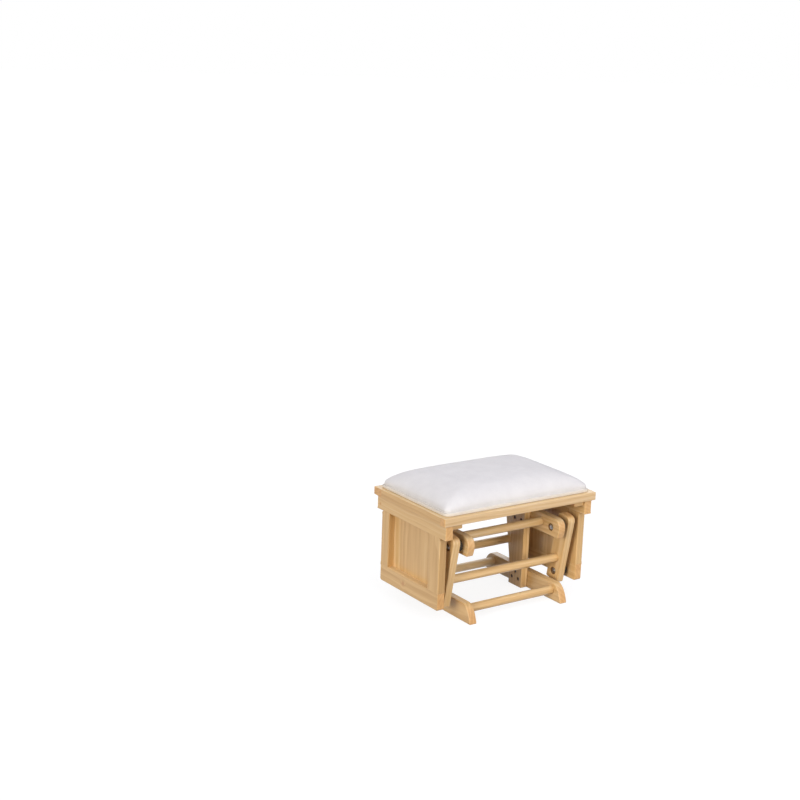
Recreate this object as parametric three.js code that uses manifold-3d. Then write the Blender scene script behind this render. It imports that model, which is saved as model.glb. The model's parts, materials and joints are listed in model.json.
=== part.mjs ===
// Glider ottoman: a padded footrest that swings on four wooden arms between two side panels.
// Millimetres. X runs along the dowels (left to right), Y to the rear, Z up.
// The origin lies on the floor, under the middle of the seat.

import * as THREE from 'three';
import { mergeVertices } from 'three/addons/utils/BufferGeometryUtils.js';
import Module from 'manifold-3d';

const wasm = await Module();
wasm.setup();

// Overall sizes of the seat frame.
const topWidth = 500;
const topDepth = 325;
const topHeight = 296;
const boardThickness = 22;

// Clearances between pieces.
const glueGap = 0.2;
const socketGap = 0.3;
const runningGap = 0.3;
const cutOverrun = 2;
const weldTolerance = 1e-4;

// Base: feet, posts and top bars.
const baseThickness = 22;
const footHalfLength = 170;
const footHeight = 49;
const footEdge = 1.6;
const toeRun = 34;
const toeControlShares = [0.3, 0.86];
const barHalfLength = 150;
const barBottom = 176;
const barHeight = 52;
const barEdge = 2.4;
const noseRun = 34;
const noseUndercut = 9;
const noseControlShares = [0.42, 1.04];
const postThickness = 22;
const postWidth = 55;
const postEdge = 1.6;
const postFloorGap = 1.5;

// Dowels that tie the two sides together.
const dowelRadius = 11.5;
const socketDepth = 12;
const footDowelInset = 42;
const footDowelRise = 28;
const barDowelInset = 80;
const barDowelRise = 29;

// Swing arms and their pivots: the arms hang from the top bars and lean outwards at the top.
const upperPivotInset = 38;
const upperPivotRise = 24;
const lowerPivotInset = 47;
const lowerPivotRise = 21;
const armThickness = 22;
const armWidth = 48;
const armTopReach = 31;
const armBottomReach = 26;
const armTopRadius = 15;
const armBottomRadius = 5;
const armEdge = 2;
const armDowelDrop = 100;
const upperGap = 18;
const lowerGap = 17;

// Pivot hardware.
const shankRadius = 4;
const headRadius = 7.6;
const headFlange = 1.8;
const hexAcross = 13;
const hexHeight = 5;
const counterboreRadius = 10;
const counterboreDepth = 8.5;
const openPivotPlay = 2.7;
const bearingRadius = 16;
const bearingBossRadius = 10.5;
const bearingBossLength = 9;
const bearingChamfer = 2;
const bearingLip = 2;
const bearingLipRadius = 12.5;
const nutHeight = 7;
const insertRadius = 6.5;
const insertLength = 13;

// Side panels: two stiles on a bottom rail, with a thin field board let in from behind.
const panelThickness = 22;
const panelSetback = 23.5;
const panelBottom = 40;
const bottomRailHeight = 46;
const bottomRailRadius = 6;
const frontStileWidth = 48;
const rearStileWidth = 35;
const panelEdge = 2.6;
const fieldThickness = 3.5;
const fieldLap = 8;

// Side rails under the top frame.
const railThickness = 23;
const railHeight = 38;
const railSideInset = 9;
const railEndInset = 6;
const railEdge = 2.6;

// Top frame and the deck let into it.
const frontBoardWidth = 20;
const rearBoardWidth = 36;
const sideBoardWidth = 45;
const topEdge = 2;
const deckThickness = 12;
const deckLap = 10;

// Corner blocks glued under the top frame, beside the side rails.
const blockLength = 32;
const blockDepth = 22;
const blockHeight = 14;
const blockEndInset = 6;
const blockEdge = 1.5;

// Cushion.
const cushionSideInset = 12;
const cushionEndInset = 11.5;
const cushionBandHeight = 5.5;
const cushionCrown = 52;
const cushionEdgeFall = 13;
const cushionCornerFall = 18;
const cushionPull = 4.5;
// Rows run round the pad: how far out each lies and how high, as shares. The lower rows wrap its board.
const cushionBandRowShares = [[0.55, 0], [0.99, 0], [1, 0.16], [1, 0.84], [0.99, 1]];
const cushionRowShares = [
  [0.982, 0.03], [0.991, 0.16], [0.988, 0.38], [0.953, 0.62], [0.887, 0.81], [0.809, 0.92],
  [0.726, 0.975], [0.55, 1], [0.28, 1],
];

// Facets of round pieces.
const dowelFacets = 24;
const turnedFacets = 20;
const curveFacets = 6;
const edgeFacets = 2;
const hexFacets = 6;
const cushionSideFacets = 14;
// How square the plan of the pad is: a higher power makes tighter corners.
const cushionSquareness = 28;
// How close to its corners the pad falls away: a higher power keeps it nearer to them.
const cushionCornerPower = 5;

// Places worked out from the sizes above. Across the width they run inwards from the top frame.
const boardBottom = topHeight - boardThickness;
const deckBottom = topHeight - deckThickness;
const railBottom = boardBottom - glueGap - railHeight;
const railHalfDepth = topDepth / 2 - railEndInset;
const panelHalfDepth = railHalfDepth - panelSetback;
const panelOuterX = topWidth / 2 - railSideInset;
const panelInnerX = panelOuterX - panelThickness;
const armOuterX = panelInnerX - lowerGap;
const armInnerX = armOuterX - armThickness;
const baseOuterX = armInnerX - upperGap;
const baseInnerX = baseOuterX - baseThickness;
const postInnerX = baseInnerX - glueGap - postThickness;
const barTop = barBottom + barHeight;
const footDowelY = footHalfLength - footDowelInset;
const barDowelY = barHalfLength - barDowelInset;
const barDowelZ = barBottom + barDowelRise;
const upperPivotY = barHalfLength - upperPivotInset;
const upperPivotZ = barBottom + upperPivotRise;
const lowerPivotY = panelHalfDepth - lowerPivotInset;
const lowerPivotZ = panelBottom + lowerPivotRise;
const armSpan = Math.hypot(upperPivotY - lowerPivotY, upperPivotZ - lowerPivotZ);
const armLean = Math.atan2(upperPivotY - lowerPivotY, upperPivotZ - lowerPivotZ);
const cushionHalfWidth = topWidth / 2 - cushionSideInset;
const cushionHalfDepth = topDepth / 2 - cushionEndInset;

// Finishes, as seen in daylight.
const maple = new THREE.MeshStandardMaterial({ color: 0xd8b484, roughness: 0.45, metalness: 0 });
const mapleShade = new THREE.MeshStandardMaterial({ color: 0xc9a06c, roughness: 0.5, metalness: 0 });
const plywood = new THREE.MeshStandardMaterial({ color: 0xcfae7e, roughness: 0.6, metalness: 0 });
const steel = new THREE.MeshStandardMaterial({ color: 0xb9bbbd, roughness: 0.3, metalness: 1 });
const blackNylon = new THREE.MeshStandardMaterial({ color: 0x1b1b1c, roughness: 0.55, metalness: 0 });
const brass = new THREE.MeshStandardMaterial({ color: 0xb08d4a, roughness: 0.4, metalness: 1 });
const paleFabric = new THREE.MeshStandardMaterial({ color: 0xe3e3e6, roughness: 0.95, metalness: 0 });

// One shared vertex at each corner, with the empty triangles at poles taken out.
function welded(geometry) {
  const bare = geometry.clone();
  for (const name of Object.keys(bare.attributes)) {
    if (name !== 'position') bare.deleteAttribute(name);
  }
  const merged = mergeVertices(bare, weldTolerance);
  const kept = [];
  const index = merged.index.array;
  for (let i = 0; i < index.length; i += 3) {
    const [a, b, c] = [index[i], index[i + 1], index[i + 2]];
    if (a !== b && b !== c && c !== a) kept.push(a, b, c);
  }
  merged.setIndex(kept);
  return merged;
}

function solidOf(geometry) {
  const clean = welded(geometry);
  return new wasm.Manifold(new wasm.Mesh({
    numProp: 3,
    vertProperties: new Float32Array(clean.attributes.position.array),
    triVerts: new Uint32Array(clean.index.array),
  }));
}

function geometryOf(solid) {
  const { numProp, vertProperties, triVerts } = solid.getMesh();
  const points = new Float32Array(vertProperties.length / numProp * 3);
  for (let i = 0; i < points.length / 3; i += 1) {
    points.set(vertProperties.subarray(i * numProp, i * numProp + 3), i * 3);
  }
  const geometry = new THREE.BufferGeometry();
  geometry.setAttribute('position', new THREE.BufferAttribute(points, 3));
  geometry.setIndex(new THREE.BufferAttribute(new Uint32Array(triVerts), 1));
  return geometry;
}

function cutFrom(geometry, cutters) {
  let solid = solidOf(geometry);
  for (const cutter of cutters) solid = solid.subtract(solidOf(cutter));
  return geometryOf(solid);
}

function joined(first, second) {
  return geometryOf(solidOf(first).add(solidOf(second)));
}

// The span of x that a piece takes on one side: side is -1 on the left and 1 on the right.
function sideSpan(side, inner, outer) {
  return side > 0 ? [inner, outer] : [-outer, -inner];
}

// A board or outline is drawn across its thickness and given the same small round on every edge.
function edged(shape, thickness, edge) {
  const geometry = new THREE.ExtrudeGeometry(shape, {
    depth: thickness - 2 * edge,
    bevelEnabled: edge > 0,
    bevelThickness: edge,
    bevelSize: edge,
    bevelOffset: -edge,
    bevelSegments: edgeFacets,
    curveSegments: curveFacets,
  });
  geometry.translate(0, 0, edge);
  return geometry;
}

// An outline drawn in Y and Z, made thick along X.
function slabAcrossX(shape, [fromX, toX], edge) {
  const geometry = edged(shape, toX - fromX, edge);
  const turn = new THREE.Matrix4().makeBasis(
    new THREE.Vector3(0, 1, 0), new THREE.Vector3(0, 0, 1), new THREE.Vector3(1, 0, 0));
  geometry.applyMatrix4(turn);
  geometry.translate(fromX, 0, 0);
  return geometry;
}

function rectangle(from, to) {
  const shape = new THREE.Shape();
  shape.moveTo(from[0], from[1]);
  shape.lineTo(to[0], from[1]);
  shape.lineTo(to[0], to[1]);
  shape.lineTo(from[0], to[1]);
  shape.closePath();
  return shape;
}

// A rectangle whose lower and upper corners have their own radii, where none is left sharp.
function roundedRectangle(from, to, lowerRadius, upperRadius) {
  const shape = new THREE.Shape();
  const corner = (x, y, radius, angle) => {
    if (radius > 0) shape.absarc(x, y, radius, angle, angle + Math.PI / 2);
    else shape.lineTo(x, y);
  };
  shape.moveTo(from[0] + lowerRadius, from[1]);
  corner(to[0] - lowerRadius, from[1] + lowerRadius, lowerRadius, -Math.PI / 2);
  corner(to[0] - upperRadius, to[1] - upperRadius, upperRadius, 0);
  corner(from[0] + upperRadius, to[1] - upperRadius, upperRadius, Math.PI / 2);
  corner(from[0] + lowerRadius, from[1] + lowerRadius, lowerRadius, Math.PI);
  return shape;
}

// A straight board between two corners.
function board(from, to, edge) {
  return slabAcrossX(rectangle([from[1], from[2]], [to[1], to[2]]), [from[0], to[0]], edge);
}

// A turned piece on an axis along X. The profile holds radius and distance outwards from startX.
function turnedAcrossX(profile, side, startX, y, z, facets) {
  const points = profile.map(([radius, along]) => new THREE.Vector2(radius, along));
  const geometry = new THREE.LatheGeometry(points, facets);
  geometry.rotateZ(side > 0 ? -Math.PI / 2 : Math.PI / 2);
  geometry.translate(side * startX, y, z);
  return geometry;
}

function rodAcrossX(radius, side, fromX, toX, y, z, facets) {
  const length = toX - fromX;
  return turnedAcrossX([[0, 0], [radius, 0], [radius, length], [0, length]], side, fromX, y, z, facets);
}

function place(parent, name, geometry, material) {
  const mesh = new THREE.Mesh(welded(geometry), material);
  mesh.name = name;
  parent.add(mesh);
}

const ottoman = new THREE.Group();
const sides = [['left', -1], ['right', 1]];
const ends = [['front', -1], ['rear', 1]];

// Feet: a flat underside, and a toe at each end that falls away in one long curve.
function footOutline() {
  const shape = new THREE.Shape();
  const toeTop = footHalfLength - toeRun;
  const controlY = footHalfLength - toeRun * toeControlShares[0];
  const controlZ = footHeight * toeControlShares[1];
  shape.moveTo(-footHalfLength, 0);
  shape.lineTo(footHalfLength, 0);
  shape.quadraticCurveTo(controlY, controlZ, toeTop, footHeight);
  shape.lineTo(-toeTop, footHeight);
  shape.quadraticCurveTo(-controlY, controlZ, -footHalfLength, 0);
  return shape;
}

// Top bars: square at the bottom, with a full nose at each end.
function barOutline() {
  const shape = new THREE.Shape();
  const bottomEnd = barHalfLength - noseUndercut;
  const noseTop = barHalfLength - noseRun;
  const lowControlZ = barBottom + barHeight * noseControlShares[0];
  const highControlY = barHalfLength * noseControlShares[1];
  shape.moveTo(-bottomEnd, barBottom);
  shape.lineTo(bottomEnd, barBottom);
  shape.bezierCurveTo(barHalfLength, lowControlZ, highControlY, barTop, noseTop, barTop);
  shape.lineTo(-noseTop, barTop);
  shape.bezierCurveTo(-highControlY, barTop, -barHalfLength, lowControlZ, -bottomEnd, barBottom);
  return shape;
}

function buildBase() {
  const base = new THREE.Group();
  for (const [sideName, side] of sides) {
    const socketStart = baseInnerX - cutOverrun;
    const socketEnd = baseInnerX + socketDepth;
    const socket = (y, z) => rodAcrossX(
      dowelRadius + socketGap, side, socketStart, socketEnd, y, z, dowelFacets);
    const foot = slabAcrossX(footOutline(), sideSpan(side, baseInnerX, baseOuterX), footEdge);
    place(base, `${sideName}_foot`,
      cutFrom(foot, ends.map(([, end]) => socket(end * footDowelY, footDowelRise))), maple);

    const bar = slabAcrossX(barOutline(), sideSpan(side, baseInnerX, baseOuterX), barEdge);
    const barCuts = [];
    for (const [, end] of ends) {
      barCuts.push(socket(end * barDowelY, barDowelZ));
      barCuts.push(rodAcrossX(counterboreRadius, side, baseInnerX - cutOverrun,
        baseInnerX + counterboreDepth, end * upperPivotY, upperPivotZ, turnedFacets));
      barCuts.push(rodAcrossX(shankRadius + socketGap, side, baseInnerX,
        baseOuterX + cutOverrun, end * upperPivotY, upperPivotZ, turnedFacets));
    }
    place(base, `${sideName}_top_bar`, cutFrom(bar, barCuts), maple);

    const [postFrom, postTo] = sideSpan(side, postInnerX, postInnerX + postThickness);
    place(base, `${sideName}_post`, board(
      [postFrom, -postWidth / 2, postFloorGap], [postTo, postWidth / 2, barTop], postEdge), maple);
  }
  const tieHalf = baseInnerX + socketDepth - socketGap;
  for (const [endName, end] of ends) {
    place(base, `${endName}_foot_dowel`, rodAcrossX(
      dowelRadius, 1, -tieHalf, tieHalf, end * footDowelY, footDowelRise, dowelFacets), maple);
    place(base, `${endName}_bar_dowel`, rodAcrossX(
      dowelRadius, 1, -tieHalf, tieHalf, end * barDowelY, barDowelZ, dowelFacets), maple);
  }
  return base;
}

// A pivot bolt: a hexagon head on a flange, and a plain shank that runs outwards from it.
function boltProfile(length) {
  return [
    [0, -headFlange], [headRadius, -headFlange], [headRadius, 0],
    [shankRadius, 0], [shankRadius, length], [0, length],
  ];
}

function pivotBolt(side, seatX, length, y, z) {
  const hexRadius = hexAcross / Math.sqrt(3);
  const body = turnedAcrossX(boltProfile(length), side, seatX, y, z, turnedFacets);
  const head = rodAcrossX(hexRadius, side, seatX - headFlange - hexHeight, seatX - headFlange / 2,
    y, z, hexFacets);
  return joined(body, head);
}

// A bearing block: a fat black ring in the gap, with a boss that is pressed into the arm.
// Along its axis the lip comes first, then the ring, and the boss last.
function bearingProfile(bore, gap) {
  const ringEnd = gap - glueGap;
  const bossEnd = ringEnd + glueGap + bearingBossLength;
  return [
    [bore, runningGap], [bearingLipRadius, runningGap], [bearingLipRadius, bearingLip],
    [bearingRadius - bearingChamfer, bearingLip], [bearingRadius, bearingLip + bearingChamfer],
    [bearingRadius, ringEnd], [bearingBossRadius, ringEnd], [bearingBossRadius, bossEnd],
    [bore, bossEnd], [bore, runningGap],
  ];
}

// One pair of arms, drawn hanging straight down from its upper pivot and then leant.
function buildArmPair(endName, end) {
  const pair = new THREE.Group();
  const lowerPlay = end > 0 ? openPivotPlay : 0;
  const pocketRadius = bearingBossRadius + socketGap;
  const pocketDepth = bearingBossLength + socketGap;
  const upperBore = shankRadius + runningGap;
  const lowerBore = shankRadius + runningGap + lowerPlay;
  const dowelSocket = dowelRadius + socketGap;
  for (const [sideName, side] of sides) {
    const outline = roundedRectangle([-armWidth / 2, -armSpan - armBottomReach],
      [armWidth / 2, armTopReach], armBottomRadius, armTopRadius);
    const arm = slabAcrossX(outline, sideSpan(side, armInnerX, armOuterX), armEdge);
    const bore = (radius, fromX, toX, z) => rodAcrossX(radius, side, fromX, toX, 0, z, turnedFacets);
    place(pair, `${endName}_${sideName}_arm`, cutFrom(arm, [
      bore(pocketRadius, armInnerX - cutOverrun, armInnerX + pocketDepth, 0),
      bore(upperBore, armInnerX, armOuterX, 0),
      bore(counterboreRadius, armOuterX - counterboreDepth, armOuterX + cutOverrun, 0),
      bore(pocketRadius, armOuterX - pocketDepth, armOuterX + cutOverrun, -armSpan),
      bore(lowerBore, armInnerX, armOuterX, -armSpan),
      bore(counterboreRadius + lowerPlay, armInnerX - cutOverrun, armInnerX + counterboreDepth, -armSpan),
      rodAcrossX(dowelSocket, side, armInnerX - cutOverrun, armInnerX + socketDepth, 0,
        -armDowelDrop, dowelFacets),
    ]), maple);
    place(pair, `${endName}_${sideName}_upper_bearing`, turnedAcrossX(
      bearingProfile(upperBore, upperGap), side, baseOuterX, 0, 0, turnedFacets), blackNylon);
    place(pair, `${endName}_${sideName}_lower_bearing`, turnedAcrossX(
      bearingProfile(lowerBore, lowerGap), -side, -panelInnerX, 0, -armSpan, turnedFacets), blackNylon);
  }
  const tieHalf = armInnerX + socketDepth - socketGap;
  place(pair, `${endName}_arm_dowel`, rodAcrossX(
    dowelRadius, 1, -tieHalf, tieHalf, 0, -armDowelDrop, dowelFacets), maple);
  pair.position.set(0, end * upperPivotY, upperPivotZ);
  pair.rotation.x = -end * armLean;
  return pair;
}

// Upper bolts run out from the top bars to a lock nut let into each arm.
function buildUpperPivots() {
  const pivots = new THREE.Group();
  const seatX = baseInnerX + counterboreDepth - glueGap;
  const nutStart = armOuterX - counterboreDepth + runningGap;
  const nutRadius = hexAcross / Math.sqrt(3);
  const nutBore = shankRadius + socketGap;
  for (const [sideName, side] of sides) {
    for (const [endName, end] of ends) {
      const y = end * upperPivotY;
      const length = nutStart + nutHeight - seatX;
      place(pivots, `${endName}_${sideName}_upper_bolt`,
        pivotBolt(side, seatX, length, y, upperPivotZ), steel);
      const nut = rodAcrossX(nutRadius, side, nutStart, nutStart + nutHeight, y, upperPivotZ, hexFacets);
      place(pivots, `${endName}_${sideName}_lock_nut`, cutFrom(nut, [rodAcrossX(nutBore, side,
        nutStart - cutOverrun, nutStart + nutHeight + cutOverrun, y, upperPivotZ, turnedFacets)]), steel);
    }
  }
  return pivots;
}

// Lower bolts run out from the arms into threaded inserts in the bottom rails.
function buildLowerPivots() {
  const pivots = new THREE.Group();
  const seatX = armInnerX + counterboreDepth - glueGap;
  const insertStart = panelInnerX;
  const bore = shankRadius + socketGap;
  for (const [sideName, side] of sides) {
    for (const [endName, end] of ends) {
      const y = end * lowerPivotY;
      const length = insertStart + insertLength - seatX;
      place(pivots, `${endName}_${sideName}_lower_bolt`,
        pivotBolt(side, seatX, length, y, lowerPivotZ), steel);
      place(pivots, `${endName}_${sideName}_insert`, turnedAcrossX(
        [[bore, 0], [insertRadius, 0], [insertRadius, insertLength], [bore, insertLength], [bore, 0]],
        side, insertStart, y, lowerPivotZ, turnedFacets), brass);
    }
  }
  return pivots;
}

// Side panels hang from the side rails.
function buildPanels() {
  const panels = new THREE.Group();
  const stileBottom = panelBottom + bottomRailHeight + glueGap;
  const stileTop = railBottom - glueGap;
  const fieldFrom = -panelHalfDepth + frontStileWidth - fieldLap;
  const fieldTo = panelHalfDepth - rearStileWidth + fieldLap;
  const fieldBottom = stileBottom - fieldLap;
  const rebateBack = panelInnerX + fieldThickness + socketGap;
  for (const [sideName, side] of sides) {
    const [panelFrom, panelTo] = sideSpan(side, panelInnerX, panelOuterX);
    const [cutFromX, cutToX] = sideSpan(side, panelInnerX - cutOverrun, rebateBack);
    const rebate = board([cutFromX, fieldFrom - socketGap, fieldBottom - socketGap],
      [cutToX, fieldTo + socketGap, stileTop + cutOverrun], 0);
    const stile = (fromY, toY) => cutFrom(
      board([panelFrom, fromY, stileBottom], [panelTo, toY, stileTop], panelEdge), [rebate]);
    place(panels, `${sideName}_front_stile`,
      stile(-panelHalfDepth, -panelHalfDepth + frontStileWidth), maple);
    place(panels, `${sideName}_rear_stile`,
      stile(panelHalfDepth - rearStileWidth, panelHalfDepth), maple);

    const railOutline = roundedRectangle([-panelHalfDepth, panelBottom],
      [panelHalfDepth, panelBottom + bottomRailHeight], bottomRailRadius, 0);
    const insertHoles = ends.map(([, end]) => rodAcrossX(insertRadius + socketGap, side,
      panelInnerX - cutOverrun, panelInnerX + insertLength + socketGap,
      end * lowerPivotY, lowerPivotZ, turnedFacets));
    place(panels, `${sideName}_bottom_rail`, cutFrom(
      slabAcrossX(railOutline, [panelFrom, panelTo], panelEdge), [rebate, ...insertHoles]), maple);

    const [fieldFromX, fieldToX] = sideSpan(side, panelInnerX, panelInnerX + fieldThickness);
    place(panels, `${sideName}_field_board`, board(
      [fieldFromX, fieldFrom, fieldBottom], [fieldToX, fieldTo, stileTop], 0), mapleShade);

    const [railFrom, railTo] = sideSpan(side, panelOuterX - railThickness, panelOuterX);
    place(panels, `${sideName}_side_rail`, board(
      [railFrom, -railHalfDepth, railBottom],
      [railTo, railHalfDepth, boardBottom - glueGap], railEdge), maple);
  }
  return panels;
}

// Four boards make the top frame: front and rear run the full width, the sides fit between them.
function buildTop() {
  const top = new THREE.Group();
  const halfWidth = topWidth / 2;
  const halfDepth = topDepth / 2;
  const frontInner = -halfDepth + frontBoardWidth;
  const rearInner = halfDepth - rearBoardWidth;
  const sideInner = halfWidth - sideBoardWidth;
  const deckFrom = [-sideInner - deckLap, frontInner - deckLap, deckBottom];
  const deckTo = [sideInner + deckLap, rearInner + deckLap, topHeight];
  const rebate = board(
    [deckFrom[0] - socketGap, deckFrom[1] - socketGap, deckFrom[2] - glueGap],
    [deckTo[0] + socketGap, deckTo[1] + socketGap, deckTo[2] + cutOverrun], 0);
  place(top, 'front_top_board', cutFrom(board([-halfWidth, -halfDepth, boardBottom],
    [halfWidth, frontInner, topHeight], topEdge), [rebate]), maple);
  place(top, 'rear_top_board', cutFrom(board([-halfWidth, rearInner, boardBottom],
    [halfWidth, halfDepth, topHeight], topEdge), [rebate]), maple);
  for (const [sideName, side] of sides) {
    const [fromX, toX] = sideSpan(side, sideInner, halfWidth);
    place(top, `${sideName}_top_board`, cutFrom(board([fromX, frontInner + glueGap, boardBottom],
      [toX, rearInner - glueGap, topHeight], topEdge), [rebate]), maple);
  }
  place(top, 'seat_deck', board(deckFrom, deckTo, 0), plywood);

  const blockTop = boardBottom - glueGap;
  const blockOuterX = panelOuterX - railThickness - glueGap;
  const blockOuterY = railHalfDepth - blockEndInset;
  for (const [sideName, side] of sides) {
    const [fromX, toX] = sideSpan(side, blockOuterX - blockLength, blockOuterX);
    for (const [endName, end] of ends) {
      const [fromY, toY] = sideSpan(end, blockOuterY - blockDepth, blockOuterY);
      place(top, `${endName}_${sideName}_corner_block`, board([fromX, fromY, blockTop - blockHeight],
        [toX, toY, blockTop], blockEdge), maple);
    }
  }
  return top;
}

// The plan of the pad at its widest, as shares of its half sizes. It follows the rim of a square
// with closer points near the corners, and each point is drawn in until the corners are round.
function cushionPlan() {
  const plan = [];
  for (let side = 0; side < 4; side += 1) {
    for (let i = 0; i < cushionSideFacets; i += 1) {
      const along = Math.sin((i / cushionSideFacets - 1 / 2) * Math.PI);
      const size = (1 + Math.abs(along) ** cushionSquareness) ** (1 / cushionSquareness);
      let [u, v] = [1 / size, along / size];
      for (let turn = 0; turn < side; turn += 1) [u, v] = [-v, u];
      plan.push([u, v]);
    }
  }
  return plan;
}

// The pad is lofted through its rows, from the middle of its flat underside up to its crown. Below,
// the fabric wraps the edge of a thin board, and above it the sides pull in between the corners.
function cushionGeometry() {
  const plan = cushionPlan();
  const bottom = topHeight + runningGap;
  const padBottom = bottom + cushionBandHeight;
  const points = [0, 0, bottom];
  for (const [spread, rise] of cushionBandRowShares) {
    for (const [u, v] of plan) {
      points.push(spread * u * cushionHalfWidth, spread * v * cushionHalfDepth,
        bottom + rise * cushionBandHeight);
    }
  }
  for (const [spread, rise] of cushionRowShares) {
    for (const [u, v] of plan) {
      const x = spread * u * (cushionHalfWidth - cushionPull * (1 - v ** 2));
      const y = spread * v * (cushionHalfDepth - cushionPull * (1 - u ** 2));
      const fall = cushionEdgeFall + cushionCornerFall * Math.abs(u * v * spread) ** cushionCornerPower;
      points.push(x, y, padBottom + rise * (cushionCrown - fall * spread ** 2));
    }
  }
  points.push(0, 0, padBottom + cushionCrown);
  const count = plan.length;
  const rows = cushionBandRowShares.length + cushionRowShares.length;
  const last = 1 + rows * count;
  const index = [];
  for (let i = 0; i < count; i += 1) {
    const j = (i + 1) % count;
    index.push(0, 1 + j, 1 + i);
    for (let row = 0; row < rows - 1; row += 1) {
      const low = 1 + row * count;
      const high = low + count;
      index.push(low + i, low + j, high + j);
      index.push(low + i, high + j, high + i);
    }
    index.push(last - count + i, last - count + j, last);
  }
  const geometry = new THREE.BufferGeometry();
  geometry.setAttribute('position', new THREE.Float32BufferAttribute(points, 3));
  geometry.setIndex(index);
  return geometry;
}

ottoman.add(buildBase());
for (const [endName, end] of ends) ottoman.add(buildArmPair(endName, end));
ottoman.add(buildUpperPivots());
ottoman.add(buildLowerPivots());
ottoman.add(buildPanels());
ottoman.add(buildTop());
place(ottoman, 'cushion', cushionGeometry(), paleFabric);

export default ottoman;
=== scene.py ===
import itertools
import math
import bpy
import numpy as np
from mathutils import Matrix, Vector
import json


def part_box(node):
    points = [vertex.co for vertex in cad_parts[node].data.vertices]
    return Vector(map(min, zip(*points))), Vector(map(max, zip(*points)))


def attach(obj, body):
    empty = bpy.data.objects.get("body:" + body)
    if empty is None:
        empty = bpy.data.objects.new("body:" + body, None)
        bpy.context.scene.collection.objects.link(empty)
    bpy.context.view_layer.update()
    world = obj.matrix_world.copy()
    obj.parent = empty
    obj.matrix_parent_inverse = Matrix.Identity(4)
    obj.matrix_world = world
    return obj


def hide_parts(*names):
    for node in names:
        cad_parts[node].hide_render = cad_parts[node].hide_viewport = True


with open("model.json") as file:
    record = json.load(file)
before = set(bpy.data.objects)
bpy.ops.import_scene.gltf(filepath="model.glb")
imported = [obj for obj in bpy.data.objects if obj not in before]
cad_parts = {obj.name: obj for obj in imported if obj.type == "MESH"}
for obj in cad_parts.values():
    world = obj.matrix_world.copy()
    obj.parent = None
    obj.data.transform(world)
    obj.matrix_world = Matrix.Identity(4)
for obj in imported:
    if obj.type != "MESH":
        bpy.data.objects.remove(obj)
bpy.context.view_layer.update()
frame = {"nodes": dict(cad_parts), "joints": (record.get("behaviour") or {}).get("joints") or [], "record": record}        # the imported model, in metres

mm = 0.001
sides = (("left", -1), ("right", 1))
ends = (("front", -1), ("rear", 1))
record = frame["record"]
bodyOf = {node: body for body, members in record["behaviour"]["bodies"].items() for node in members}
slotOf = {row["node"]: row["material_slot"] for row in record["subparts"]}
jointAt = {joint["name"]: joint["pos_m"] for joint in frame["joints"]}
# each pivot's distance in front of or behind the middle, and its height
upperPivot = (abs(jointAt["front_arm_swing"][1]), jointAt["front_arm_swing"][2])
lowerPivot = (abs(jointAt["seat_pivot"][1]), jointAt["seat_pivot"][2])
inwards, down = upperPivot[0] - lowerPivot[0], upperPivot[1] - lowerPivot[1]
armSpan, armLean = math.hypot(inwards, down), math.atan2(inwards, down)


def corners(node):
    low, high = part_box(node)
    return np.array(low), np.array(high)


def sideOn(node):
    # a node's box in (y, z): front, rear, bottom and top
    low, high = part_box(node)
    return low[1], high[1], low[2], high[2]


def innerOuter(node, side):
    # x of the faces of a node towards the object's middle and away from it
    low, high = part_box(node)
    return (high[0], low[0]) if side < 0 else (low[0], high[0])


def axisOf(node):
    # y and z of a node's middle
    low, high = corners(node)
    return (low[1:] + high[1:]) / 2


def pivotAt(pivot, sign):
    # y and z of a front pivot, for -1, or of a rear one
    return sign * pivot[0], pivot[1]


# Meshes: every new piece is a profile or an outline carried along a path.

meshSteps = dict(arc=7, edge=5, curve=26, turned=64, ease=5, hold=0.6 * mm, lead=4 * mm, sharpAngle=34)


def newPiece(name, points, faces):
    mesh = bpy.data.meshes.new(name)
    mesh.from_pydata(np.asarray(points, float).tolist(), [], faces)
    mesh.update()
    piece = bpy.data.objects.new(name, mesh)
    bpy.context.scene.collection.objects.link(piece)
    return piece


def coordinates(mesh):
    flat = np.empty(len(mesh.vertices) * 3)
    mesh.vertices.foreach_get("co", flat)
    return flat.reshape(-1, 3)


def moveTo(piece, points):
    piece.data.vertices.foreach_set("co", points.ravel())
    piece.data.update()


def gridFaces(rows, count, turned=False, closed=False):
    # quads between neighbouring rows of closed rings: (i, j), (i, j+1), (i+1, j+1), (i+1, j)
    i, j = np.meshgrid(np.arange(rows if closed else rows - 1), np.arange(count), indexing="ij")
    k, n = (j + 1) % count, (i + 1) % rows
    quads = np.stack([i * count + j, i * count + k, n * count + k, n * count + j], -1)
    return (quads[..., ::-1] if turned else quads).reshape(-1, 4).tolist()


def cappedFaces(rows, count, turned=False):
    # grid faces with a flat cap on the first and the last row
    first, last = list(range(count)), list(range((rows - 1) * count, rows * count))
    return gridFaces(rows, count, turned) + ([first, last[::-1]] if turned else [first[::-1], last])


def poledFaces(rows, count, turned=False):
    # grid faces closed by a fan at each end, about two more points: the low pole and then the high one
    j = np.arange(count)
    k, last = (j + 1) % count, (rows - 1) * count
    low = np.stack([np.full(count, rows * count), k, j], -1)
    high = np.stack([np.full(count, rows * count + 1), last + j, last + k], -1)
    if turned:
        low, high = low[:, ::-1], high[:, ::-1]
    return gridFaces(rows, count, turned) + low.tolist() + high.tolist()


def softened(piece):
    # smooth shading that breaks where two faces meet at more than the sharp angle
    piece.data.shade_smooth()
    piece.data.set_sharp_from_angle(angle=math.radians(meshSteps["sharpAngle"]))
    return piece


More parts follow.
